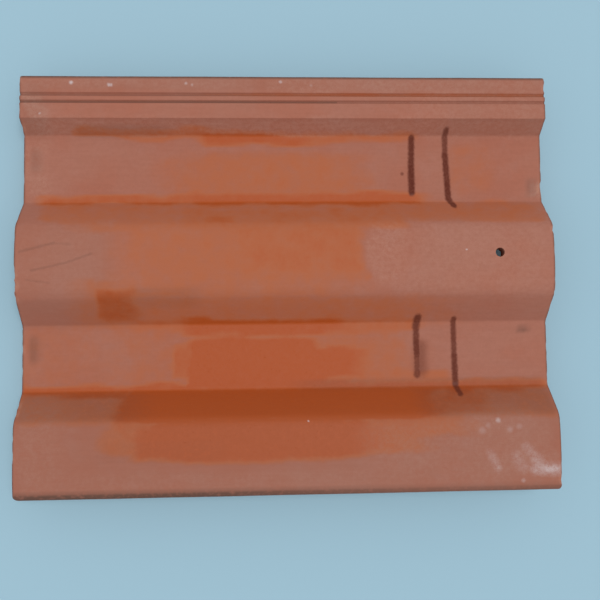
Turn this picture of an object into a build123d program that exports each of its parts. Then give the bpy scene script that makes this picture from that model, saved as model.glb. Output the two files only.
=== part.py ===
from build123d import *
from math import atan2, cos, degrees, sin, tan
import os

# Interlocking double-roll roof tile, one fired piece.
# Sizes are in millimetres.
# Station is the distance across the tile from its underlock edge. Height is measured from the top of the pans.

# Overall
TILE_LENGTH = 420.0
COVER_WIDTH = 300.0
SIDE_LAP = 30.0
BODY_WALL = 11.0
END_RADIUS = 1.0
END_SHARE = 0.92

# Rolls and pans
FIRST_PAN_WIDTH = 54.0
SECOND_PAN_WIDTH = 51.5
ROLL_HEIGHT = 27.0
SLOPE_SHARE = 0.2284
CROWN_RISE = 2.5
CROWN_ARC_SHARE = 0.7
SHOULDER_RADIUS = 14.0
FOOT_RADIUS = 3.0
INNER_RADIUS = 2.0

# Overlock: the free edge of the second roll, which covers the next tile's underlock
OVERLOCK_WALL = 10.0
OVERLOCK_CLEARANCE = 1.0
OVERLOCK_REACH = 3.0
LIP_TOP_RADIUS = 5.5
LIP_EDGE_RADIUS = 1.2

# Underlock: the raised shelf that the next tile covers, with an outer strip, a groove, a ridge, a crease and a band
UNDERLOCK_WALL = 7.5
UNDERLOCK_RUN = 10.5
UNDERLOCK_EDGE_RADIUS = 3.0
UNDERLOCK_SOLE_RADIUS = 2.0
STRIP_WIDTH = 12.5
STRIP_FALL = 0.9
STRIP_RADIUS = 20.0
GROOVE_WIDTH = 4.0
GROOVE_DEPTH = 3.0
RIDGE_WIDTH = 2.6
CREASE_WIDTH = 3.2
CREASE_DEPTH = 2.4
BAND_WIDTH = 12.2
LOCK_RADIUS = 1.1
STEP_RUN = 1.3
STEP_DROP = 2.4

# Nail hole, through the crown of the first roll
NAIL_HOLE_RADIUS = 3.5
NAIL_HOLE_FROM_HEAD = 44.0
NAIL_HOLE_OFF_CROWN = 4.0

# Hanging nibs, one under each pan at the head
NIB_FACE_FROM_HEAD = 20.0
NIB_BACK_FROM_HEAD = 4.0
NIB_FOOT_LENGTH = 10.0
NIB_WIDTH = 38.0
NIB_DEPTH = 15.0
NIB_CORNER_RADIUS = 2.5

# Foot ribs across the tail, which bed on the tile below
RIB_COUNT = 3
RIB_THICKNESS = 8.0
RIB_PITCH = 22.0
RIB_DEPTH = 7.0
RIB_END_GAP = 3.0
RIB_END_RADIUS = 2.5
SOLE_RADIUS = 1.5

# Places that follow from the sizes
tile_width = COVER_WIDTH + SIDE_LAP
roll_pitch = COVER_WIDTH / 2
roll_width = roll_pitch - SECOND_PAN_WIDTH
roll_run = SLOPE_SHARE * roll_width
half_crown = roll_width / 2 - roll_run
crown_angle = atan2(CROWN_RISE, half_crown)
crown_radius = CROWN_ARC_SHARE * half_crown / tan(crown_angle)
crown_corner = ROLL_HEIGHT + crown_radius * (1 / cos(crown_angle) - 1)
shoulder_height = crown_corner - CROWN_RISE
underlock_height = ROLL_HEIGHT - OVERLOCK_WALL - OVERLOCK_CLEARANCE

groove_start = STRIP_WIDTH
groove_end = groove_start + GROOVE_WIDTH
crease_start = groove_end + RIDGE_WIDTH
crease_end = crease_start + CREASE_WIDTH
band_end = crease_end + BAND_WIDTH
first_pan = band_end + UNDERLOCK_RUN
first_roll = first_pan + FIRST_PAN_WIDTH
second_roll = first_roll + roll_pitch
overlock_start = COVER_WIDTH - OVERLOCK_REACH

head = TILE_LENGTH / 2
tail = -TILE_LENGTH / 2
nib_face = head - NIB_FACE_FROM_HEAD


def crown_height(start, station):
    """Height of a roll's two crown runs, which meet at its middle."""
    return crown_corner - CROWN_RISE * abs(station - start - roll_width / 2) / half_crown


def near_side(start):
    """Corners of a roll's top from its near foot to the middle of its crown, each with its rounding radius."""
    return [
        (start, 0.0, FOOT_RADIUS),
        (start + roll_run, shoulder_height, SHOULDER_RADIUS),
        (start + roll_width / 2, crown_corner, crown_radius),
    ]


def far_side(start):
    """Corners of a roll's top from its far shoulder to its far foot."""
    return [
        (start + roll_width - roll_run, shoulder_height, SHOULDER_RADIUS),
        (start + roll_width, 0.0, FOOT_RADIUS),
    ]


def lock_line(start, base):
    """Corners of the lock's strip, groove, ridge and crease, drawn from a starting station at a base height."""
    return [
        (start + STRIP_WIDTH / 2, base, STRIP_RADIUS),
        (start + groove_start, base - STRIP_FALL, LOCK_RADIUS),
        (start + groove_start + GROOVE_WIDTH / 2, base - GROOVE_DEPTH, LOCK_RADIUS),
        (start + groove_end, base, LOCK_RADIUS),
        (start + crease_start, base, LOCK_RADIUS),
        (start + crease_start + CREASE_WIDTH / 2, base - CREASE_DEPTH, LOCK_RADIUS),
        (start + crease_end, base, LOCK_RADIUS),
    ]


def underside(corner, before, after, wall_before=BODY_WALL, wall_after=BODY_WALL):
    """Corner under a corner of the top, where the runs on its two sides meet once each is moved in by its wall."""
    angle_before = atan2(corner[1] - before[1], corner[0] - before[0])
    angle_after = atan2(after[1] - corner[1], after[0] - corner[0])
    turn = angle_after - angle_before
    across = (wall_after * cos(angle_before) - wall_before * cos(angle_after)) / sin(turn)
    down = (wall_after * sin(angle_before) - wall_before * sin(angle_after)) / sin(turn)
    radius = corner[2] + BODY_WALL if turn > 0 else max(corner[2] - BODY_WALL, INNER_RADIUS)
    return (corner[0] + across, corner[1] + down, radius)


def section_face(corners):
    """Face across the tile at its head, bounded by straight runs with each corner rounded by its own radius."""
    points = [(station, height) for station, height, radius in corners]
    radii = [radius for station, height, radius in corners]
    head_plane = Plane(origin=(head, tile_width / 2, 0), x_dir=(0, -1, 0), z_dir=(-1, 0, 0))
    return head_plane * make_face(FilletPolyline(*points, radius=radii, close=True))


def body():
    """The tile's constant section, drawn out along its length."""
    shelf = [(0.0, underlock_height - STRIP_FALL, UNDERLOCK_EDGE_RADIUS)]
    shelf += lock_line(0.0, underlock_height)
    band = (band_end, underlock_height, LOCK_RADIUS)
    step = (band_end + STEP_RUN, underlock_height - STEP_DROP, LOCK_RADIUS)
    bends = [(first_pan, 0.0, FOOT_RADIUS)] + near_side(first_roll) + far_side(first_roll) + near_side(second_roll)

    # The lip's underside repeats the lock line of the next tile, raised by the clearance.
    lip_top = crown_height(second_roll, tile_width)
    lip_bottom = underlock_height + OVERLOCK_CLEARANCE
    lip_radius = min(LIP_TOP_RADIUS, lip_top - lip_bottom - LIP_EDGE_RADIUS)
    lip = [(tile_width, lip_top, lip_radius), (tile_width, lip_bottom, LIP_EDGE_RADIUS)]
    lip += lock_line(COVER_WIDTH, lip_bottom)[::-1]
    lip += [(overlock_start, lip_bottom, SHOULDER_RADIUS)]

    inside = [underside(band, shelf[-1], bends[0], wall_before=UNDERLOCK_WALL)]
    for before, corner, after in zip([band] + bends, bends, bends[1:]):
        inside.append(underside(corner, before, after))
    shelf_sole = (0.0, underlock_height - UNDERLOCK_WALL, UNDERLOCK_SOLE_RADIUS)
    outline = shelf + [band, step] + bends + lip + inside[::-1] + [shelf_sole]
    return extrude(section_face(outline), amount=TILE_LENGTH)


def foot_rib(index):
    """One foot rib, whose sole repeats the top of the tile so that it beds on the tile below."""
    start = first_pan + RIB_END_GAP
    end = overlock_start - RIB_END_GAP
    line = [(start, 0.0, RIB_END_RADIUS)] + near_side(first_roll) + far_side(first_roll)
    line += near_side(second_roll)[:2] + [(end, crown_height(second_roll, end), RIB_END_RADIUS)]
    root = [(station, height - BODY_WALL / 2, radius) for station, height, radius in line]
    sole = [(station, height - BODY_WALL - RIB_DEPTH, radius) for station, height, radius in line]
    rib = extrude(section_face(root + sole[::-1]), amount=RIB_THICKNESS)
    rib = fillet(rib.faces().filter_by(Axis.X).edges(), SOLE_RADIUS)
    return Pos(RIB_THICKNESS + index * RIB_PITCH - TILE_LENGTH, 0, 0) * rib


def nib(pan_middle):
    """One hanging nib: an upright face against the batten and a sloped back."""
    root = -BODY_WALL / 2
    foot = -BODY_WALL - NIB_DEPTH
    side = Plane.XZ * make_face(
        Polyline(
            (nib_face, root),
            (nib_face, foot),
            (nib_face + NIB_FOOT_LENGTH, foot),
            (head - NIB_BACK_FROM_HEAD, -BODY_WALL),
            (head - NIB_BACK_FROM_HEAD, root),
            close=True,
        )
    )
    block = extrude(side, amount=NIB_WIDTH / 2, both=True)
    uprights = block.faces().filter_by(Axis.Y).edges().filter_by(Axis.X, reverse=True)
    block = fillet(uprights, NIB_CORNER_RADIUS)
    block = fillet(block.faces().sort_by(Axis.Z)[0].edges(), SOLE_RADIUS)
    return Pos(0, tile_width / 2 - pan_middle, 0) * block


def nail_hole():
    """Drill for the nail hole, square to the pans."""
    station = first_roll + roll_width / 2 - NAIL_HOLE_OFF_CROWN
    place = Pos(head - NAIL_HOLE_FROM_HEAD, tile_width / 2 - station, ROLL_HEIGHT - BODY_WALL / 2)
    return place * Cylinder(NAIL_HOLE_RADIUS, 2 * BODY_WALL)


tile = body()
tile = fillet(tile.faces().filter_by(Axis.X).edges(), min(END_RADIUS, END_SHARE * LOCK_RADIUS))
for index in range(RIB_COUNT):
    tile += foot_rib(index)
for pan_middle in (first_pan + FIRST_PAN_WIDTH / 2, second_roll - SECOND_PAN_WIDTH / 2):
    tile += nib(pan_middle)
tile -= nail_hole()

# The tile lies on its nibs at the head and its first foot rib at the tail, so its pans slope a little.
lay_angle = degrees(atan2(NIB_DEPTH - RIB_DEPTH, nib_face - tail))
tile = Rot(0, -lay_angle, 0) * tile
box = tile.bounding_box()
tile = Pos(-box.center().X, -box.center().Y, -box.min.Z) * tile
tile.label = "roof_tile"

os.makedirs("parts", exist_ok=True)
export_step(tile, "parts/roof_tile.step")
box = tile.bounding_box()
print("solids", len(tile.solids()), "volume", round(tile.volume), "lay angle", round(lay_angle, 3))
print("size", [round(value, 3) for value in (box.size.X, box.size.Y, box.size.Z)])
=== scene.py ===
from math import atan2, cos, radians, sin

import bmesh
import bpy
import numpy as np
from mathutils import Matrix, Vector, noise


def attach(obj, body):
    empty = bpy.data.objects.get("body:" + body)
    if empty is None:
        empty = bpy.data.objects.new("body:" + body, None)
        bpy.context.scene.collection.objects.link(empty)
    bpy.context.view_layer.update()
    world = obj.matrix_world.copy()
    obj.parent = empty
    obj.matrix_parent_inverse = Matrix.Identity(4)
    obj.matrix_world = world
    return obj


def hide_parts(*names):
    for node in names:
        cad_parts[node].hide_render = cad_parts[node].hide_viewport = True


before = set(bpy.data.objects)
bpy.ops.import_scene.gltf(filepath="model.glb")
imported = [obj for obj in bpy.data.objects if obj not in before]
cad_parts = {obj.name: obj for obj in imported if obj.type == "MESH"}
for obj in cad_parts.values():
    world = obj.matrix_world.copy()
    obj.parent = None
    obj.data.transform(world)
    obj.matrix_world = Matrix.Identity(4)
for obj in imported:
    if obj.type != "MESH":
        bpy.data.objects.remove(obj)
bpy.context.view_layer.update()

# The tile's own frame, in millimetres: x along it from tail to head, station across it from the underlock
# edge, height above the pans. It lies in the row's frame turned by the lay angle and moved by the shift.
MM = 0.001
TILE_WIDTH = 330.0
HALF_LENGTH = 210.0
NIB_BELOW_RIB = 8.0
NIB_TO_TAIL = 400.0
LAY_ANGLE = atan2(NIB_BELOW_RIB, NIB_TO_TAIL)
TILE_SHIFT = (0.16, 0.0, 22.17)
TILE_LAY = Matrix.Translation(Vector(TILE_SHIFT) * MM) @ Matrix.Rotation(-LAY_ANGLE, 4, "Y")

# Middles of the underlock's groove and crease, by station
GROOVE = 15.2
CREASE = 21.3

# The photograph's camera, fitted to the tile's outline: place and turn in the tile's own frame, and half
# its view as a share of the distance
CAMERA_PLACE = (-29.165, -61.341, 691.4)
CAMERA_TURN = (0.0696, -0.0549, -0.0136)
CAMERA_HALF_VIEW = 187.5 / 540.0
CLIP_START = 0.01


def to_tile(points):
    """Row-frame points in metres, as x, station and height in millimetres."""
    moved = points / MM - np.array(TILE_SHIFT)
    along = moved[:, 0] * cos(LAY_ANGLE) + moved[:, 2] * sin(LAY_ANGLE)
    height = -moved[:, 0] * sin(LAY_ANGLE) + moved[:, 2] * cos(LAY_ANGLE)
    return along, TILE_WIDTH / 2 - moved[:, 1], height


def to_row(along, station, height):
    """The other way: x, station and height in millimetres as row-frame points in metres."""
    across = along * cos(LAY_ANGLE) - height * sin(LAY_ANGLE)
    up = along * sin(LAY_ANGLE) + height * cos(LAY_ANGLE)
    return (np.stack([across, TILE_WIDTH / 2 - station, up], axis=1) + np.array(TILE_SHIFT)) * MM


def linear(red, green, blue):
    """Colour written in display values from 0 to 255, as linear RGBA."""
    values = []
    for value in (red, green, blue):
        share = value / 255.0
        values.append(share / 12.92 if share <= 0.04045 else ((share + 0.055) / 1.055) ** 2.4)
    return (*values, 1.0)


# Cuts in the mesh: their pitch along and across the tile, and near its ends their distances from the end
CUT_PITCH = 3.8
SIDE_CUT_PITCH = 3.0
SIDE_CUT_RANGE = (-163.0, 164.0)
END_ZONE = 10.0
END_CUTS = (0.6, 1.4, 2.4, 3.6, 5.2, 7.4)

# Limits for joining and cutting, in metres, and for flat and sharp edges
SAME_POINT = 2e-6
ON_PLANE = 1e-6
SLIVER = 0.00012
FLAT_ANGLE = 0.002
SHARP_ANGLE = radians(38.0)


def cut_mesh(mesh):
    """Splits the CAD mesh by planes across and along the tile, so that it can take wear and colour."""
    bmesh.ops.remove_doubles(mesh, verts=mesh.verts, dist=SAME_POINT)
    bmesh.ops.dissolve_limit(mesh, angle_limit=FLAT_ANGLE, verts=mesh.verts, edges=mesh.edges)
    places = list(np.arange(-HALF_LENGTH + END_ZONE, HALF_LENGTH - END_ZONE, CUT_PITCH))
    places += [HALF_LENGTH - gap for gap in END_CUTS] + [gap - HALF_LENGTH for gap in END_CUTS]
    cuts = [((x, 0.0, 0.0), (1, 0, 0)) for x in places]
    cuts += [((0.0, y, 0.0), (0, 1, 0)) for y in np.arange(*SIDE_CUT_RANGE, SIDE_CUT_PITCH)]
    for place, normal in cuts:
        bmesh.ops.bisect_plane(
            mesh,
            geom=mesh.verts[:] + mesh.edges[:] + mesh.faces[:],
            dist=ON_PLANE,
            plane_co=TILE_LAY @ (Vector(place) * MM),
            plane_no=TILE_LAY.to_3x3() @ Vector(normal),
        )
    bmesh.ops.triangulate(mesh, faces=mesh.faces)
    bmesh.ops.remove_doubles(mesh, verts=mesh.verts, dist=SLIVER)
    bmesh.ops.dissolve_degenerate(mesh, edges=mesh.edges, dist=SLIVER)
    bmesh.ops.triangulate(mesh, faces=mesh.faces)


# Noise patterns of the mesh: share of x that counts, size of the features in millimetres, seed
SWELL = (0.4, 34.0, 1)
RIPPLE = (0.25, 9.0, 2)
FINE = (1.0, 3.2, 3)
CHIPPING = (1.0, 7.0, 4)
WANDER_BROAD = (1.0, 26.0, 5)
WANDER_FINE = (1.0, 7.0, 6)
WANDER_SIDE = (0.6, 17.0, 7)
SEED_STEPS = (17.3, 5.1, 9.7)


def noise_at(along, station, height, pattern):
    """Smooth noise from -1 to 1 in one of the patterns."""
    share, size, seed = pattern
    offset = Vector([seed * step for step in SEED_STEPS])
    places = zip(along * share, station, height)
    return np.array([noise.noise(Vector(place) / size + offset) for place in places])


def smooth(low, high, value):
    """Smooth step from 0 at low to 1 at high."""
    share = np.clip((value - low) / (high - low), 0.0, 1.0)
    return share * share * (3.0 - 2.0 * share)


def ramp(distance, run):
    """Straight rise from 0 at no distance to 1 at the run."""
    return np.clip(distance / run, 0.0, 1.0)


def near_line(station, middle, half_width):
    """1 on a line along the tile, falling to 0 at its half width."""
    return np.clip(1.0 - np.abs(station - middle) / half_width, 0.0, 1.0)


def patch(along, station, x_range, s_range, fades):
    """Soft-edged patch, 1 inside the ranges. It fades over the distances towards tail, head and sides."""
    to_tail, to_head, to_side = fades
    out_x = np.maximum(np.maximum((x_range[0] - along) / to_tail, (along - x_range[1]) / to_head), 0.0)
    out_s = np.maximum(np.maximum(s_range[0] - station, station - s_range[1]), 0.0) / to_side
    return 1.0 - smooth(0.0, 1.0, np.hypot(out_x, out_s))


def laid(patches, along, station):
    """The highest of a list of patches at each point."""
    value = np.zeros(len(along))
    for x_range, s_range, fades, strength in patches:
        value = np.maximum(value, strength * patch(along, station, x_range, s_range, fades))
    return value


# Damp places: x range, station range, fades towards tail, head and sides, strength
DAMP = (
    ((-160, -70), (41.5, 45), (14, 60, 3), 0.64),
    ((-120, 20), (43.5, 46), (40, 40, 4), 0.50),
    ((-62, 10), (45, 50.5), (20, 40, 4), 0.88),
    ((10, 95), (45, 47.5), (40, 24, 4), 0.56),
    ((-50, 36), (66, 92), (90, 56, 15), 0.46),
    ((-195, -60), (95, 100), (15, 60, 4), 0.74),
    ((-60, 100), (94, 100), (60, 30, 6), 0.88),
    ((-190, 200), (101, 117), (12, 20, 5), 0.42),
    ((-75, 85), (108, 123), (40, 20, 5), 0.52),
    ((140, 158), (58, 84), (14, 24, 18), 0.28),
    ((-60, -46), (114, 117), (14, 14, 5), 0.68),
    ((-150, 58), (117, 124), (40, 24, 6), 0.40),
    ((-90, 57), (121, 162), (80, 6, 10), 0.46),
    ((-20, 52), (128, 154), (90, 8, 18), 0.60),
    ((-142, -124), (173, 190), (14, 18, 9), 0.80),
    ((-150, 20), (165, 176), (40, 70, 6), 0.38),
    ((-124, -84), (174, 175), (8, 18, 4), 0.46),
    ((-140, 70), (181, 198), (60, 120, 9), 0.44),
    ((-76, 34), (195, 205), (20, 44, 4), 0.90),
    ((-120, -70), (196, 201), (16, 20, 4), 0.62),
    ((40, 100), (196, 203), (20, 20, 4), 0.56),
    ((-74, 10), (212, 239), (12, 30, 8), 1.08),
    ((-72, 14), (225, 245), (14, 30, 5), 1.20),
    ((20, 125), (236, 246), (30, 16, 5), 0.46),
    ((0, 34), (220, 239), (20, 60, 8), 1.06),
    ((-91, -80), (216, 237), (5, 10, 7), 0.74),
    ((-60, 62), (210, 243), (60, 80, 9), 0.40),
    ((-205, 200), (246.4, 252), (8, 30, 4), 0.86),
    ((-200, 205), (252, 270), (30, 20, 8), 0.42),
    ((-122, 92), (253, 270), (34, 76, 7), 1.02),
    ((90, 150), (255, 268), (40, 24, 8), 0.72),
    ((-165, -120), (252, 264), (20, 20, 6), 0.45),
    ((-128, 110), (271, 284), (20, 60, 7), 0.62),
    ((-138, -100), (280, 292), (14, 30, 7), 0.54),
    ((-112, -10), (278, 299), (26, 90, 7), 0.90),
    ((-112, 40), (278, 296), (26, 110, 7), 0.86),
    ((-92, 24), (275, 296), (50, 90, 8), 1.20),
    ((-205, -95), (200, 246), (6, 30, 8), 0.22),
    ((-130, -96), (204, 244), (30, 10, 8), 0.30),
)

# Pale dust, and painted light that makes the underlock's slope paler: the same values
DUST_AND_PAINTED_LIGHT = (
    ((66, 82), (128, 162), (5, 26, 14), 0.38),
    ((-6, 205), (3, 11), (20, 6, 4), 0.44),
    ((-203, -192), (16, 42), (4, 8, 6), 0.72),
    ((-170, -158), (2, 6), (8, 12, 4), 0.50),
    ((-200, -178), (2, 8), (6, 10, 4), 0.30),
    ((120, 205), (14, 42), (40, 6, 8), 0.30),
    ((100, 195), (126, 168), (40, 20, 16), 0.20),
    ((160, 204), (303, 316), (20, 8, 10), 0.44),
    ((80, 195), (282, 316), (40, 15, 14), 0.30),
    ((140, 185), (268, 282), (15, 10, 6), 0.34),
    ((202, 208), (84, 92), (4, 4, 4), 0.80),
    ((-205, -194), (55, 90), (8, 12, 12), 0.36),
    ((-205, -185), (262, 322), (8, 30, 14), 0.32),
    ((-205, -60), (2, 8), (10, 60, 5), 0.34),
    # Painted light: paler clay on the underlock's slope, which the lamps leave darker
    ((-205, 205), (36, 43), (10, 10, 3), 0.40),
    ((188, 205), (6, 36), (14, 8, 10), 0.36),
    ((-205, 205), (314, 322), (10, 10, 8), 0.22),
    ((-205, -160), (126, 166), (8, 40, 14), 0.14),
)

# Grime: the same values
GRIME = (
    ((-202, -200), (60, 70), (5, 8, 9), 0.26),
    ((-202.5, -200), (210, 222), (4, 6, 9), 0.38),
    ((189, 192), (203.5, 205), (6, 6, 3.5), 0.58),
    ((150, 206), (4, 42), (40, 6, 8), 0.07),
    ((-120, -80), (172, 182), (10, 20, 5), 0.16),
    ((-165, -110), (40, 45), (8, 30, 3), 0.20),
    ((30, 200), (244, 249), (40, 10, 3), 0.22),
    ((-145, -60), (288, 302), (12, 40, 6), 0.21),
    ((-205, -145), (126, 172), (6, 20, 10), 0.10),
    ((-205, 205), (3, 11), (10, 10, 3), 0.11),
    ((199, 203), (83, 92), (3, 6, 5), 0.30),
    ((-205, -196), (8, 44), (4, 14, 8), 0.14),
    ((-205, 205), (276, 328), (10, 10, 14), 0.17),
    ((-205, -140), (253, 270), (6, 60, 5), 0.30),
    ((-140, 140), (253, 270), (60, 50, 5), 0.10),
    ((120, 205), (253, 270), (40, 6, 5), 0.32),
    ((-142, -124), (177, 190), (14, 18, 10), 0.18),
    ((-205, -150), (181, 197), (6, 50, 6), 0.12),
)

# Chips on the end arrises: end sign, station, radius, depth
CHIPS = (
    (1, 88.5, 6.0, 1.5),
    (-1, 160.0, 4.0, 0.9),
    (-1, 168.0, 5.0, 1.1),
    (-1, 178.5, 4.0, 0.9),
    (-1, 257.0, 4.0, 1.0),
    (-1, 263.5, 3.5, 0.9),
    (-1, 41.0, 3.5, 0.8),
    (1, 322.0, 4.0, 0.9),
    (1, 126.0, 3.5, 0.7),
    (1, 9.0, 3.5, 0.8),
    (-1, 216.0, 3.5, 0.8),
)

# A chip is centred on the arris, whose height comes from points this near to its station and to the end
CHIP_NEAR_STATION = 2.5
CHIP_NEAR_END = 3.0
CHIP_FACING_UP = 0.02

# A chip's depth without the fine noise and times it, and the bite from which its clay shows as broken
CHIP_ROUGH = (0.75, 0.5)
BROKEN_STEP = (0.05, 0.35)

# The fired skin's mean depth below the solid, and the depths of its noise patterns
SKIN_DEPTH = 0.16
SWELL_DEPTH = 0.14
RIPPLE_DEPTH = 0.07
FINE_DEPTH = 0.05

# Wear on the end arrises: reach, noise range that is worn, fine noise's share, depth
ARRIS_REACH = 2.2
WORN_STEP = (0.05, 0.6)
WORN_FINE = 0.35
WORN_DEPTH = 0.38

# How far a face looks up before it counts as the top, and how high a point lies before it may sink
FACING_UP = (0.05, 0.35)
OFF_FLOOR = (0.3, 2.5)

# The first roll's shoulders, which are rounder than the solid's: stations, reach and depth
SOFT_SHOULDERS = (123.0, 173.5)
SOFT_REACH = 6.0
SOFT_DEPTH = 0.6

# Stations in the underlock's groove and crease as the solid has them and as the photograph shows them, a
# little narrower, and the heights between which the move sets in
LOCK_BUILT = (0.0, 10.5, 12.5, 14.5, 16.5, 19.1, 20.7, 22.3, 24.0, TILE_WIDTH)
LOCK_SEEN = (0.0, 10.5, 13.6, 15.2, 16.8, 20.0, 21.3, 22.5, 24.0, TILE_WIDTH)
LOCK_RISE = (10.0, 12.5)

# Plan rounding of the corners: end sign, side sign, radius
CORNERS = ((-1, 1, 5.0), (1, 1, 2.6), (-1, -1, 2.0), (1, -1, 2.4))


def round_corners(along, station):
    """Draws the four corners in, seen from above, to the worn radii."""
    for end, side, radius in CORNERS:
        gap_x = HALF_LENGTH - end * along
        gap_s = TILE_WIDTH / 2 - side * (station - TILE_WIDTH / 2)
        reach = np.hypot(radius - gap_x, radius - gap_s)
        inside = (gap_x < radius) & (gap_s < radius) & (reach > radius)
        scale = np.where(inside, radius / np.maximum(reach, 1e-6), 1.0)
        new_x = radius - (radius - gap_x) * scale
        new_s = radius - (radius - gap_s) * scale
        along = np.where(inside, end * (HALF_LENGTH - new_x), along)
        station = np.where(inside, TILE_WIDTH / 2 + side * (TILE_WIDTH / 2 - new_s), station)
    return along, station


def chip_bite(chip, along, station, height, top):
    """How far each point is inside one chip, from 0 to 1."""
    end, place, radius, _ = chip
    end_gap = HALF_LENGTH - np.abs(along)
    near = (np.sign(along) == end) & (top > CHIP_FACING_UP)
    level = height[near & (np.abs(station - place) < CHIP_NEAR_STATION) & (end_gap < CHIP_NEAR_END)]
    away = np.sqrt(end_gap**2 + (station - place) ** 2 + (height - level.max()) ** 2)
    return np.clip(1.0 - (away / radius) ** 2, 0.0, 1.0) * (np.sign(along) == end)


def wear(along, station, height, top):
    """How far each point sinks, in millimetres, and how worn and how broken it is."""
    swell = noise_at(along, station, height, SWELL)
    ripple = noise_at(along, station, height, RIPPLE)
    fine = noise_at(along, station, height, FINE)
    sunk = SKIN_DEPTH + SWELL_DEPTH * swell + RIPPLE_DEPTH * ripple + FINE_DEPTH * fine
    for shoulder in SOFT_SHOULDERS:
        sunk += SOFT_DEPTH * np.exp(-(((station - shoulder) / SOFT_REACH) ** 2)) * top
    arris = np.clip(1.0 - (HALF_LENGTH - np.abs(along)) / ARRIS_REACH, 0.0, 1.0)
    chipping = noise_at(along, station, height, CHIPPING)
    worn = arris * smooth(*WORN_STEP, chipping + WORN_FINE * fine)
    sunk += WORN_DEPTH * worn
    broken = np.zeros(len(along))
    for chip in CHIPS:
        bite = chip_bite(chip, along, station, height, top)
        bite *= CHIP_ROUGH[0] + CHIP_ROUGH[1] * fine
        sunk += chip[-1] * bite
        broken = np.maximum(broken, smooth(*BROKEN_STEP, bite))
    return sunk, worn, broken


# How far the edges of damp, dust and painted light wander: broad and fine along the tile, and across it
WANDER_ALONG = (9.0, 2.4)
WANDER_ACROSS = 3.4

# Dirt and painted shade in the groove and crease: half width, strengths, and the crease's fade towards
# the head
DIRT_AND_SHADE_HALF_WIDTH = 1.2
GROOVE_DIRT_AND_SHADE = 0.10
CREASE_DIRT_AND_SHADE = 0.30
CREASE_FADE = 0.55
CREASE_FADE_RANGE = (-60.0, 190.0)

# Dark outer edges, dirt and painted shade on their rounding: where each begins, the run over which it is
# full, and its strength or fade
UNDERLOCK_EDGE = 3.4
UNDERLOCK_EDGE_RUN = 2.0
UNDERLOCK_EDGE_DIRT_AND_SHADE = 0.95
LIP_EDGE = 323.2
LIP_EDGE_RUN = 3.2
LIP_FADE = 0.4
LIP_FADE_RANGE = (-100.0, 150.0)
END_EDGE = 1.7
END_EDGE_RUN = 1.3
END_EDGE_DIRT_AND_SHADE = 0.85
WEAR_CLEANS = 0.7

# Orange damp in the groove: half width, strength, and where it sets in
RUST_HALF_WIDTH = 2.2
RUST_STRENGTH = 0.8
RUST_RANGE = (-150.0, 60.0)


def grime_and_shade_at(along, station, end_gap, bare):
    """Grime in patches, and dirt with painted shade in the groove and crease and along the rounded outer
    edges but where they are bare.
    """
    grime_and_shade = laid(GRIME, along, station)
    crease_fade = 1.0 - CREASE_FADE * smooth(*CREASE_FADE_RANGE, along)
    lip_fade = 1.0 - LIP_FADE * smooth(*LIP_FADE_RANGE, along)
    # Dirt and painted shade along the groove, crease and outer edges
    lines = (
        CREASE_DIRT_AND_SHADE * crease_fade * near_line(station, CREASE, DIRT_AND_SHADE_HALF_WIDTH),
        GROOVE_DIRT_AND_SHADE * near_line(station, GROOVE, DIRT_AND_SHADE_HALF_WIDTH),
        UNDERLOCK_EDGE_DIRT_AND_SHADE * ramp(UNDERLOCK_EDGE - station, UNDERLOCK_EDGE_RUN),
        lip_fade * ramp(station - LIP_EDGE, LIP_EDGE_RUN),
        END_EDGE_DIRT_AND_SHADE * ramp(END_EDGE - end_gap, END_EDGE_RUN) * (1.0 - WEAR_CLEANS * bare),
    )
    for line in lines:
        grime_and_shade = np.maximum(grime_and_shade, line)
    return grime_and_shade


def damp_dust_and_light(along, station):
    """Damp, and dust with painted light on the underlock's slope, with wandering edges, and the orange
    damp in the groove.
    """
    level = np.zeros(len(along))
    broad = noise_at(along, station, level, WANDER_BROAD)
    fine = noise_at(along, station, level, WANDER_FINE)
    moved_x = along + (WANDER_ALONG[0] * broad + WANDER_ALONG[1] * fine)
    moved_s = station + WANDER_ACROSS * noise_at(along, station, level, WANDER_SIDE)
    rust = RUST_STRENGTH * near_line(station, GROOVE, RUST_HALF_WIDTH) * smooth(*RUST_RANGE, along)
    return np.maximum(laid(DAMP, moved_x, moved_s), rust), laid(DUST_AND_PAINTED_LIGHT, moved_x, moved_s)


# A face that looks this far along the tile is an end face, on which wear shows less
END_FACE = 0.98
END_FACE_WEAR = 0.6
BROKEN_WEAR = 0.8
HIGHEST_VALUE = 1.5


def surface_values(along, station, end_gap, facing, top, worn, broken):
    """What lies on each point, with the painted light and shade, how far it looks up, and how worn it is.
    """
    damp, dust_and_light = damp_dust_and_light(along, station)
    grime_and_shade = grime_and_shade_at(along, station, end_gap, np.maximum(worn, broken))
    crest = np.where(np.abs(facing) < END_FACE, 1.0, END_FACE_WEAR) * top
    return {
        "damp": damp * top,
        "dust_and_light": dust_and_light * top,
        "grime_and_shade": grime_and_shade * top,
        "top": top,
        "worn": np.maximum(worn * crest, BROKEN_WEAR * broken),
    }


def shade_smooth(mesh):
    """Smooth faces that meet in sharp edges where they turn far."""
    for face in mesh.faces:
        face.smooth = True
    for edge in mesh.edges:
        edge.smooth = not edge.is_manifold or edge.calc_face_angle() < SHARP_ANGLE


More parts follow.
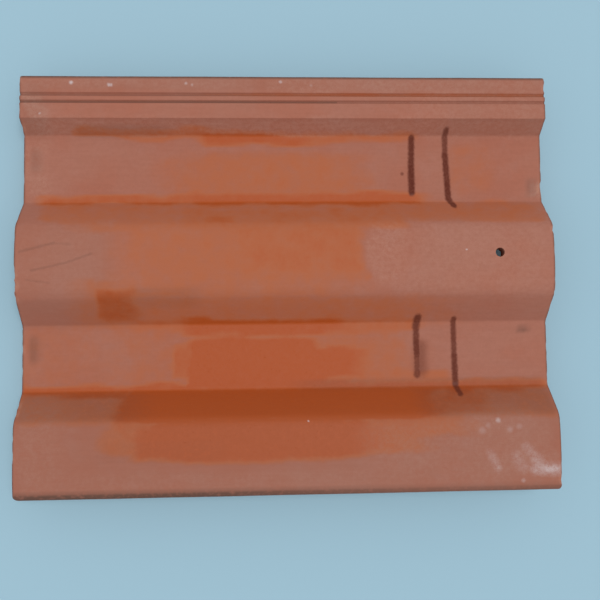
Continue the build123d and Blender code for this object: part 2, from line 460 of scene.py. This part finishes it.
def make_tile(node):
    """The fired piece with its uneven skin, worn arrises and chips, and its surface values."""
    mesh = bmesh.new()
    mesh.from_mesh(node.data)
    cut_mesh(mesh)
    mesh.normal_update()
    points = np.array([v.co for v in mesh.verts])
    normals = np.array([v.normal for v in mesh.verts])
    along, station, height = to_tile(points)
    end_gap = HALF_LENGTH - np.abs(along)
    top = smooth(*FACING_UP, normals[:, 2])
    sunk, worn, broken = wear(along, station, height, top)
    sunk *= smooth(*OFF_FLOOR, points[:, 2] / MM)

    along, station, height = to_tile(points - normals * sunk[:, None] * MM)
    station += (np.interp(station, LOCK_BUILT, LOCK_SEEN) - station) * smooth(*LOCK_RISE, height)
    along, station = round_corners(along, station)
    for vert, place in zip(mesh.verts, to_row(along, station, height)):
        vert.co = place
    shade_smooth(mesh)
    data = bpy.data.meshes.new("fired_tile")
    mesh.to_mesh(data)
    mesh.free()

    values = surface_values(along, station, end_gap, normals[:, 0], top, worn, broken)
    for name, value in values.items():
        layer = data.attributes.new(name, "FLOAT", "POINT")
        layer.data.foreach_set("value", np.clip(value, 0.0, HIGHEST_VALUE).astype(np.float32))

    tile = bpy.data.objects.new("fired_tile", data)
    bpy.context.scene.collection.objects.link(tile)
    return tile


# Colours in display values
DRY = (169, 111, 93)
DRY_PALE = (171, 115, 99)
DRY_WARM = (169, 105, 85)
DAMP_MILD = (176, 98, 62)
DAMP_DEEP = (172, 77, 23)
SHADE_COLOUR = (140, 84, 64)
SAND_COLOUR = (120, 70, 52)
# The dust colour also paints light on the underlock's slope
DUST_AND_LIGHT_COLOUR = (192, 154, 138)
# The grime colour also paints shade in the groove, crease and along the outer edges
GRIME_AND_SHADE_COLOUR = (104, 72, 60)
WORN_COLOUR = (182, 130, 108)
UNDER_COLOUR = (162, 100, 78)
UNDER_PALE = (178, 126, 104)
MARK_COLOUR = (94, 37, 21)
CHALK_COLOUR = (212, 202, 204)

# Crayon strokes: start x and station, end x and station, half width, strength. The last one is a dot.
STROKES = (
    ((102.8, 46.6), (102.0, 70.0), 2.5, 0.96),
    ((102.0, 70.0), (102.2, 91.5), 2.7, 1.00),
    ((130.4, 41.6), (130.2, 60.0), 2.3, 0.82),
    ((130.2, 60.0), (131.4, 82.0), 2.5, 0.96),
    ((131.4, 82.0), (132.2, 96.6), 2.5, 0.98),
    ((132.2, 96.6), (135.6, 103.2), 2.4, 0.92),
    ((103.8, 194.2), (103.0, 201.3), 3.0, 0.90),
    ((103.0, 201.3), (103.0, 212.0), 2.5, 0.86),
    ((103.0, 212.0), (103.4, 224.0), 2.6, 0.92),
    ((103.4, 224.0), (103.4, 240.0), 2.5, 0.76),
    ((103.6, 237.4), (103.2, 239.6), 2.8, 0.80),
    ((133.4, 195.5), (133.6, 224.3), 2.2, 0.84),
    ((133.6, 224.3), (134.2, 248.5), 2.4, 0.92),
    ((134.2, 248.5), (136.0, 254.8), 2.2, 0.86),
    ((94.6, 76.0), (94.6, 76.4), 1.4, 0.60),
)

# The smudge beside a stroke: the same values, and a softness
SMUDGE = ((106.2, 217.0), (106.2, 236.0), 5.0, 0.50, 0.9)

# Dark lines in the bottoms of the crease and the groove, part dirt and part painted shade, as long soft
# strokes
DIRT_AND_SHADE_LINES = (
    ((-212.0, 21.4), (40.0, 21.4), 0.70, 0.62, 0.6),
    ((40.0, 21.4), (212.0, 21.4), 0.65, 0.14, 0.6),
    ((-212.0, 15.4), (212.0, 15.4), 0.70, 0.34, 0.6),
)

# Fine dark scratches on the first roll at the tail, as soft strokes
SCRATCHES = (
    ((-197.0, 156.0), (-171.5, 150.3), 0.9, 0.26, 0.8),
    ((-171.5, 150.3), (-152.0, 143.3), 0.9, 0.24, 0.8),
    ((-206.0, 141.5), (-180.0, 134.8), 1.0, 0.26, 0.8),
    ((-201.0, 163.0), (-184.0, 165.5), 0.8, 0.16, 0.8),
    ((-180.0, 134.8), (-168.0, 136.0), 0.9, 0.14, 0.8),
)

# White specks: x and station, half width, strength
SPECK_SOFTNESS = 0.8
SPECKS = (
    ((-169.8, 6.0), 1.3, 0.66),
    ((-140.4, 7.8), 1.2, 0.50),
    ((-138.6, 7.9), 1.1, 0.48),
    ((-79.8, 6.4), 1.1, 0.36),
    ((-75.0, 7.8), 0.9, 0.26),
    ((-4.8, 5.0), 1.1, 0.40),
    ((19.6, 7.6), 1.0, 0.16),
    ((-194.0, 31.0), 0.8, 0.36),
    ((13.0, 273.5), 0.7, 0.52),
    ((160.3, 275.3), 1.7, 0.34),
    ((147.6, 282.9), 2.4, 0.13),
    ((152.3, 279.3), 1.8, 0.10),
    ((169.3, 282.4), 2.0, 0.15),
    ((176.9, 280.3), 2.0, 0.11),
    ((179.0, 322.0), 1.4, 0.22),
    ((139.0, 142.0), 0.6, 0.50),
)

# Chalky smears at the head end of the second roll, as very soft strokes
STREAKS = (
    ((153.6, 300.6), (159.2, 312.0), 2.6, 0.17, 0.98),
    ((159.2, 311.6), (159.4, 312.0), 1.8, 0.22, 0.95),
    ((173.6, 303.0), (178.4, 311.4), 3.6, 0.15, 0.98),
    ((180.8, 311.0), (181.2, 311.2), 2.6, 0.20, 0.95),
    ((181.6, 296.6), (192.4, 308.0), 3.2, 0.18, 0.98),
    ((188.9, 305.4), (196.0, 313.0), 3.6, 0.28, 0.98),
    ((189.0, 312.8), (206.0, 313.6), 3.8, 0.40, 0.98),
    ((197.4, 313.0), (204.0, 313.4), 2.6, 0.62, 0.95),
)

# Noise patterns of the clay: scale per millimetre, detail, roughness
BROAD = (0.016, 4.0, 0.6)
PATCHY = (0.07, 4.0, 0.6)
MOTTLE = (0.30, 4.0, 0.65)
GRAIN = (1.4, 3.0, 0.7)
STREAKY = (0.45, 4.0, 0.6)
BLOOM = (0.035, 5.0, 0.62)
RAGGED = (0.09, 4.0, 0.55)
CATCH = (0.5, 3.0, 0.65)
SAND = (2.6, 2.0, 0.6)
PITS = (0.75, 3.0, 0.6)
NOISE_MIDDLE = 0.5

# Shares of x, y and height that count in streaks along the tile, and in marks drawn from above
DRAWN_OUT = (0.10, 1.0, 1.0)
FLAT = (1.0, 1.0, 0.0)

# How finely and how far the edges of the marks wobble
WOBBLE_SCALE = 0.45
WOBBLE_REACH = 1.6

# Soft steps: values between which they go, and for some what they go from and to
WARM_STEP = (0.35, 0.68)
PALE_STEP = (0.48, 0.72)
SHADE_STEP = (0.36, 0.62, 0.16, 0.0)
BLOOM_STEP = (0.44, 0.66, 0.0, 0.7)
RAGGED_STEP = (0.0, 0.3)
MILD_STEP = (0.04, 0.62)
DEEP_STEP = (0.46, 0.94)
FILM_STEP = (0.32, 0.70)
GRIME_STEP = (0.25, 0.55, 0.55, 1.0)
RUBBED_STEP = (0.3, 0.6, 0.5, 1.0)
CATCH_STEP = (0.34, 0.56, 0.88, 1.0)
CHALK_STEP = (0.28, 0.62, 0.15, 1.0)
SAND_STEP = (0.62, 0.74)
ROUGH_STEP = (0.2, 0.9, 0.86, 0.58)
PITS_STEP = (0.66, 0.76, 0.0, 0.5)

# Shares of one pattern or colour in another
PALE_SHARE = 0.4
SHADE_SHARES = (0.6, 0.4)
BENEATH_SHARE = 0.75
RAGGED_SHARE = 0.55
FILM_SHARES = (0.55, 0.45)
DUST_AND_LIGHT_SHARE = 0.62
RUBBED_SHARE = 0.55
SAND_SHARE = 0.28
ROUGH_MOTTLE = 0.14
RELIEF_SHARES = (0.35, 0.35, 0.30)

# Gloss, and strength and depth of the relief, in metres
SPECULAR = 0.35
BUMP_STRENGTH = 0.55
BUMP_DEPTH = 0.0005

# A stroke shorter than this is drawn as a dot
SHORTEST_RUN = 0.5


class Shader:
    """Short ways to add and link the nodes of one material."""

    def __init__(self, name):
        self.material = bpy.data.materials.new(name)
        self.material.use_nodes = True
        self.tree = self.material.node_tree
        self.surface = self.tree.nodes["Principled BSDF"]

    def plug(self, socket, value):
        if isinstance(value, bpy.types.NodeSocket):
            self.tree.links.new(value, socket)
        else:
            socket.default_value = value

    def math(self, kind, first, second=0.0, clamp=False):
        node = self.tree.nodes.new("ShaderNodeMath")
        node.operation = kind
        node.use_clamp = clamp
        self.plug(node.inputs[0], first)
        self.plug(node.inputs[1], second)
        return node.outputs[0]

    def vector(self, kind, first, second=(0.0, 0.0, 0.0), scale=None):
        node = self.tree.nodes.new("ShaderNodeVectorMath")
        node.operation = kind
        self.plug(node.inputs[0], first)
        self.plug(node.inputs[1], second)
        if scale is not None:
            self.plug(node.inputs["Scale"], scale)
        return node.outputs["Value" if kind in ("DOT_PRODUCT", "LENGTH", "DISTANCE") else "Vector"]

    def times(self, first, second):
        return self.math("MULTIPLY", first, second)

    def weighted(self, values, shares):
        """Sum of the values, each times its share."""
        total = self.times(values[0], shares[0])
        for value, share in zip(values[1:], shares[1:]):
            total = self.math("ADD", total, self.times(value, share))
        return total

    def off_middle(self, value):
        """Noise as a difference from its middle."""
        return self.math("SUBTRACT", value, NOISE_MIDDLE)

    def attribute(self, name):
        node = self.tree.nodes.new("ShaderNodeAttribute")
        node.attribute_name = name
        return node.outputs["Fac"]

    def noise(self, place, scale, detail, roughness):
        node = self.tree.nodes.new("ShaderNodeTexNoise")
        self.plug(node.inputs["Vector"], place)
        node.inputs["Scale"].default_value = scale
        node.inputs["Detail"].default_value = detail
        node.inputs["Roughness"].default_value = roughness
        return node.outputs["Fac"]

    def step(self, value, low, high, to_low=0.0, to_high=1.0):
        node = self.tree.nodes.new("ShaderNodeMapRange")
        node.interpolation_type = "SMOOTHSTEP"
        self.plug(node.inputs["Value"], value)
        node.inputs["From Min"].default_value = low
        node.inputs["From Max"].default_value = high
        node.inputs["To Min"].default_value = to_low
        node.inputs["To Max"].default_value = to_high
        return node.outputs["Result"]

    def mix(self, factor, first, second):
        node = self.tree.nodes.new("ShaderNodeMix")
        node.data_type = "RGBA"
        self.plug(node.inputs["Factor"], factor)
        colours = [socket for socket in node.inputs if socket.type == "RGBA"]
        self.plug(colours[0], first)
        self.plug(colours[1], second)
        return next(socket for socket in node.outputs if socket.type == "RGBA")

    def stroke(self, place, start, end, half_width, strength, softness=0.5):
        """Mask of a round-ended stroke on the tile, drawn from above."""
        first = Vector((start[0], TILE_WIDTH / 2 - start[1], 0.0))
        run = Vector((end[0], TILE_WIDTH / 2 - end[1], 0.0)) - first
        offset = self.vector("SUBTRACT", place, tuple(first))
        if run.length > SHORTEST_RUN:
            reach = self.vector("DOT_PRODUCT", offset, tuple(run / run.length_squared))
            reach = self.math("MINIMUM", self.math("MAXIMUM", reach, 0.0), 1.0)
            offset = self.vector("SUBTRACT", offset, self.vector("SCALE", tuple(run), scale=reach))
        distance = self.vector("LENGTH", offset)
        inner, outer = half_width * (1 - softness), half_width * (1 + softness)
        return self.step(distance, inner, outer, strength, 0.0)

    def strokes(self, place, table):
        """Mask of all the strokes in a table."""
        return self.highest([self.stroke(place, *stroke) for stroke in table])

    def highest(self, masks):
        result = masks[0]
        for mask in masks[1:]:
            result = self.math("MAXIMUM", result, mask)
        return result


def dry_clay(clay, place, top, mottle, streaky):
    """Colour of the dry clay, and of the underside, which has a paler bloom."""
    broad = clay.noise(place, *BROAD)
    colour = clay.mix(clay.step(broad, *WARM_STEP), linear(*DRY_WARM), linear(*DRY))
    patchy = clay.step(clay.noise(place, *PATCHY), *PALE_STEP)
    colour = clay.mix(clay.times(patchy, PALE_SHARE), colour, linear(*DRY_PALE))
    shade = clay.weighted((mottle, streaky), SHADE_SHARES)
    colour = clay.mix(clay.step(shade, *SHADE_STEP), colour, linear(*SHADE_COLOUR))
    bloom = clay.step(clay.noise(place, *BLOOM), *BLOOM_STEP)
    beneath = clay.mix(bloom, linear(*UNDER_COLOUR), linear(*UNDER_PALE))
    return clay.mix(clay.times(clay.math("SUBTRACT", 1.0, top), BENEATH_SHARE), colour, beneath)


def ragged_damp(clay, place):
    """Damp with an uneven edge."""
    ragged = clay.times(clay.off_middle(clay.noise(place, *RAGGED)), RAGGED_SHARE)
    damp = clay.attribute("damp")
    return clay.math("ADD", damp, clay.times(ragged, clay.step(damp, *RAGGED_STEP)), clamp=True)


def add_dirt_and_painted_light(clay, colour, mottle, film):
    """Dust as a thin pale film broken up by the grain, with painted light on the underlock's slope, then
    grime with painted shade in the groove, crease and outer edges, then bare worn clay.
    """
    # Dust, with painted light on the underlock's slope
    dust_and_light = clay.times(clay.attribute("dust_and_light"), clay.step(film, *FILM_STEP))
    colour = clay.mix(clay.times(dust_and_light, DUST_AND_LIGHT_SHARE), colour, linear(*DUST_AND_LIGHT_COLOUR))
    # Grime, with painted shade in the groove, crease and along the outer edges
    grime_and_shade = clay.times(clay.attribute("grime_and_shade"), clay.step(mottle, *GRIME_STEP))
    colour = clay.mix(grime_and_shade, colour, linear(*GRIME_AND_SHADE_COLOUR))
    worn = clay.times(clay.attribute("worn"), clay.step(mottle, *RUBBED_STEP))
    return clay.mix(clay.times(worn, RUBBED_SHARE), colour, linear(*WORN_COLOUR))


def add_marks(clay, colour, place, top, film):
    """Crayon strokes, scratches, dark lines of dirt and painted shade, chalk and specks, drawn on the
    tile from above.
    """
    flat = clay.vector("MULTIPLY", place, FLAT)
    wobble = clay.tree.nodes.new("ShaderNodeTexNoise")
    clay.plug(wobble.inputs["Vector"], flat)
    wobble.inputs["Scale"].default_value = WOBBLE_SCALE
    shift = clay.vector("SUBTRACT", wobble.outputs["Color"], (NOISE_MIDDLE,) * 3)
    shift = clay.vector("SCALE", shift, scale=WOBBLE_REACH)
    pencil = clay.vector("MULTIPLY", clay.vector("ADD", flat, shift), FLAT)

    catch = clay.step(clay.noise(place, *CATCH), *CATCH_STEP)
    marks = clay.strokes(pencil, (*STROKES, SMUDGE))
    marks = clay.times(clay.times(marks, catch), top)
    colour = clay.mix(marks, colour, linear(*MARK_COLOUR))
    # Scratches, and dark lines of dirt and painted shade in the groove and crease
    lines = clay.highest([clay.strokes(pencil, SCRATCHES), clay.strokes(flat, DIRT_AND_SHADE_LINES)])
    colour = clay.mix(clay.times(lines, top), colour, linear(*GRIME_AND_SHADE_COLOUR))
    chalk = clay.times(clay.strokes(pencil, STREAKS), clay.step(film, *CHALK_STEP))
    dots = [(middle, middle, size, strength, SPECK_SOFTNESS) for middle, size, strength in SPECKS]
    white = clay.times(clay.highest([chalk, clay.strokes(pencil, dots)]), top)
    return clay.mix(white, colour, linear(*CHALK_COLOUR))


def clay_material():
    """Fired clay, dry and damp, with what lies on it, painted light and shade, and its sandy, pitted
    grain.
    """
    clay = Shader("weathered_clay")
    coordinates = clay.tree.nodes.new("ShaderNodeTexCoord").outputs["Object"]
    place = clay.vector("SCALE", coordinates, scale=1.0 / MM)
    top = clay.attribute("top")
    mottle = clay.noise(place, *MOTTLE)
    grain = clay.noise(place, *GRAIN)
    streaky = clay.noise(clay.vector("MULTIPLY", place, DRAWN_OUT), *STREAKY)
    film = clay.weighted((mottle, grain), FILM_SHARES)

    colour = dry_clay(clay, place, top, mottle, streaky)
    damp = ragged_damp(clay, place)
    colour = clay.mix(clay.step(damp, *MILD_STEP), colour, linear(*DAMP_MILD))
    colour = clay.mix(clay.step(damp, *DEEP_STEP), colour, linear(*DAMP_DEEP))
    colour = add_dirt_and_painted_light(clay, colour, mottle, film)
    colour = add_marks(clay, colour, place, top, film)
    sand = clay.step(clay.noise(place, *SAND), *SAND_STEP)
    colour = clay.mix(clay.times(sand, SAND_SHARE), colour, linear(*SAND_COLOUR))
    clay.plug(clay.surface.inputs["Base Color"], colour)

    rough = clay.step(damp, *ROUGH_STEP)
    rough = clay.math("ADD", rough, clay.times(clay.off_middle(mottle), ROUGH_MOTTLE), clamp=True)
    clay.plug(clay.surface.inputs["Roughness"], rough)
    clay.surface.inputs["Specular IOR Level"].default_value = SPECULAR

    relief = clay.weighted((grain, mottle, streaky), RELIEF_SHARES)
    relief = clay.math("SUBTRACT", relief, clay.step(clay.noise(place, *PITS), *PITS_STEP))
    bump = clay.tree.nodes.new("ShaderNodeBump")
    bump.inputs["Strength"].default_value = BUMP_STRENGTH
    bump.inputs["Distance"].default_value = BUMP_DEPTH
    clay.plug(bump.inputs["Height"], relief)
    clay.plug(clay.surface.inputs["Normal"], bump.outputs["Normal"])
    return clay.material


tile = make_tile(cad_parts["roof_tile"])
tile.data.materials.append(clay_material())
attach(tile, "root")
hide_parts("roof_tile")


# Stage and light
FLOOR_COLOUR = (160, 195, 212)
FLOOR_HALF = 20.0
FLOOR_ROUGHNESS = 0.95
SKY_COLOUR = (165, 197, 212)
WORLD_STRENGTH = 0.55
SUN_FROM = (0.3, 0.12, 2.3)
SUN_SPREAD = radians(24.0)
SUN_STRENGTH = 1.36


def make_floor():
    """A plain pale floor that the tile lies on."""
    data = bpy.data.meshes.new("floor")
    corners = [(x * FLOOR_HALF, y * FLOOR_HALF, 0.0) for x, y in ((-1, -1), (1, -1), (1, 1), (-1, 1))]
    data.from_pydata(corners, [], [(0, 1, 2, 3)])
    floor = bpy.data.objects.new("floor", data)
    bpy.context.scene.collection.objects.link(floor)
    material = bpy.data.materials.new("pale_floor")
    material.use_nodes = True
    surface = material.node_tree.nodes["Principled BSDF"]
    surface.inputs["Base Color"].default_value = linear(*FLOOR_COLOUR)
    surface.inputs["Roughness"].default_value = FLOOR_ROUGHNESS
    data.materials.append(material)


def make_light():
    """Even light from all round, and a soft light from above and a little from the head."""
    world = bpy.data.worlds.new("soft_sky")
    world.use_nodes = True
    tree = world.node_tree
    light = tree.nodes["Background"]
    light.inputs["Strength"].default_value = WORLD_STRENGTH
    light.inputs["Color"].default_value = (1.0, 1.0, 1.0, 1.0)
    seen = tree.nodes.new("ShaderNodeBackground")
    seen.inputs["Color"].default_value = linear(*SKY_COLOUR)
    path = tree.nodes.new("ShaderNodeLightPath")
    choice = tree.nodes.new("ShaderNodeMixShader")
    tree.links.new(path.outputs["Is Camera Ray"], choice.inputs["Fac"])
    tree.links.new(light.outputs["Background"], choice.inputs[1])
    tree.links.new(seen.outputs["Background"], choice.inputs[2])
    tree.links.new(choice.outputs["Shader"], tree.nodes["World Output"].inputs["Surface"])
    bpy.context.scene.world = world
    sun = bpy.data.lights.new("overhead", "SUN")
    sun.angle = SUN_SPREAD
    sun.energy = SUN_STRENGTH
    holder = bpy.data.objects.new("overhead", sun)
    holder.rotation_euler = (-Vector(SUN_FROM)).to_track_quat("-Z", "Y").to_euler()
    bpy.context.scene.collection.objects.link(holder)


def make_camera():
    """Camera at the photograph's place over the tile."""
    data = bpy.data.cameras.new("camera")
    data.lens = data.sensor_width / 2 / CAMERA_HALF_VIEW
    data.clip_start = CLIP_START
    camera = bpy.data.objects.new("camera", data)
    bpy.context.scene.collection.objects.link(camera)
    turn = Matrix.Rotation(CAMERA_TURN[2], 4, "Z") @ Matrix.Rotation(CAMERA_TURN[1], 4, "Y")
    turn = turn @ Matrix.Rotation(CAMERA_TURN[0], 4, "X")
    camera.matrix_world = TILE_LAY @ Matrix.Translation(Vector(CAMERA_PLACE) * MM) @ turn
    bpy.context.scene.camera = camera


make_floor()
make_light()
make_camera()
bpy.context.scene.view_settings.view_transform = "Standard"
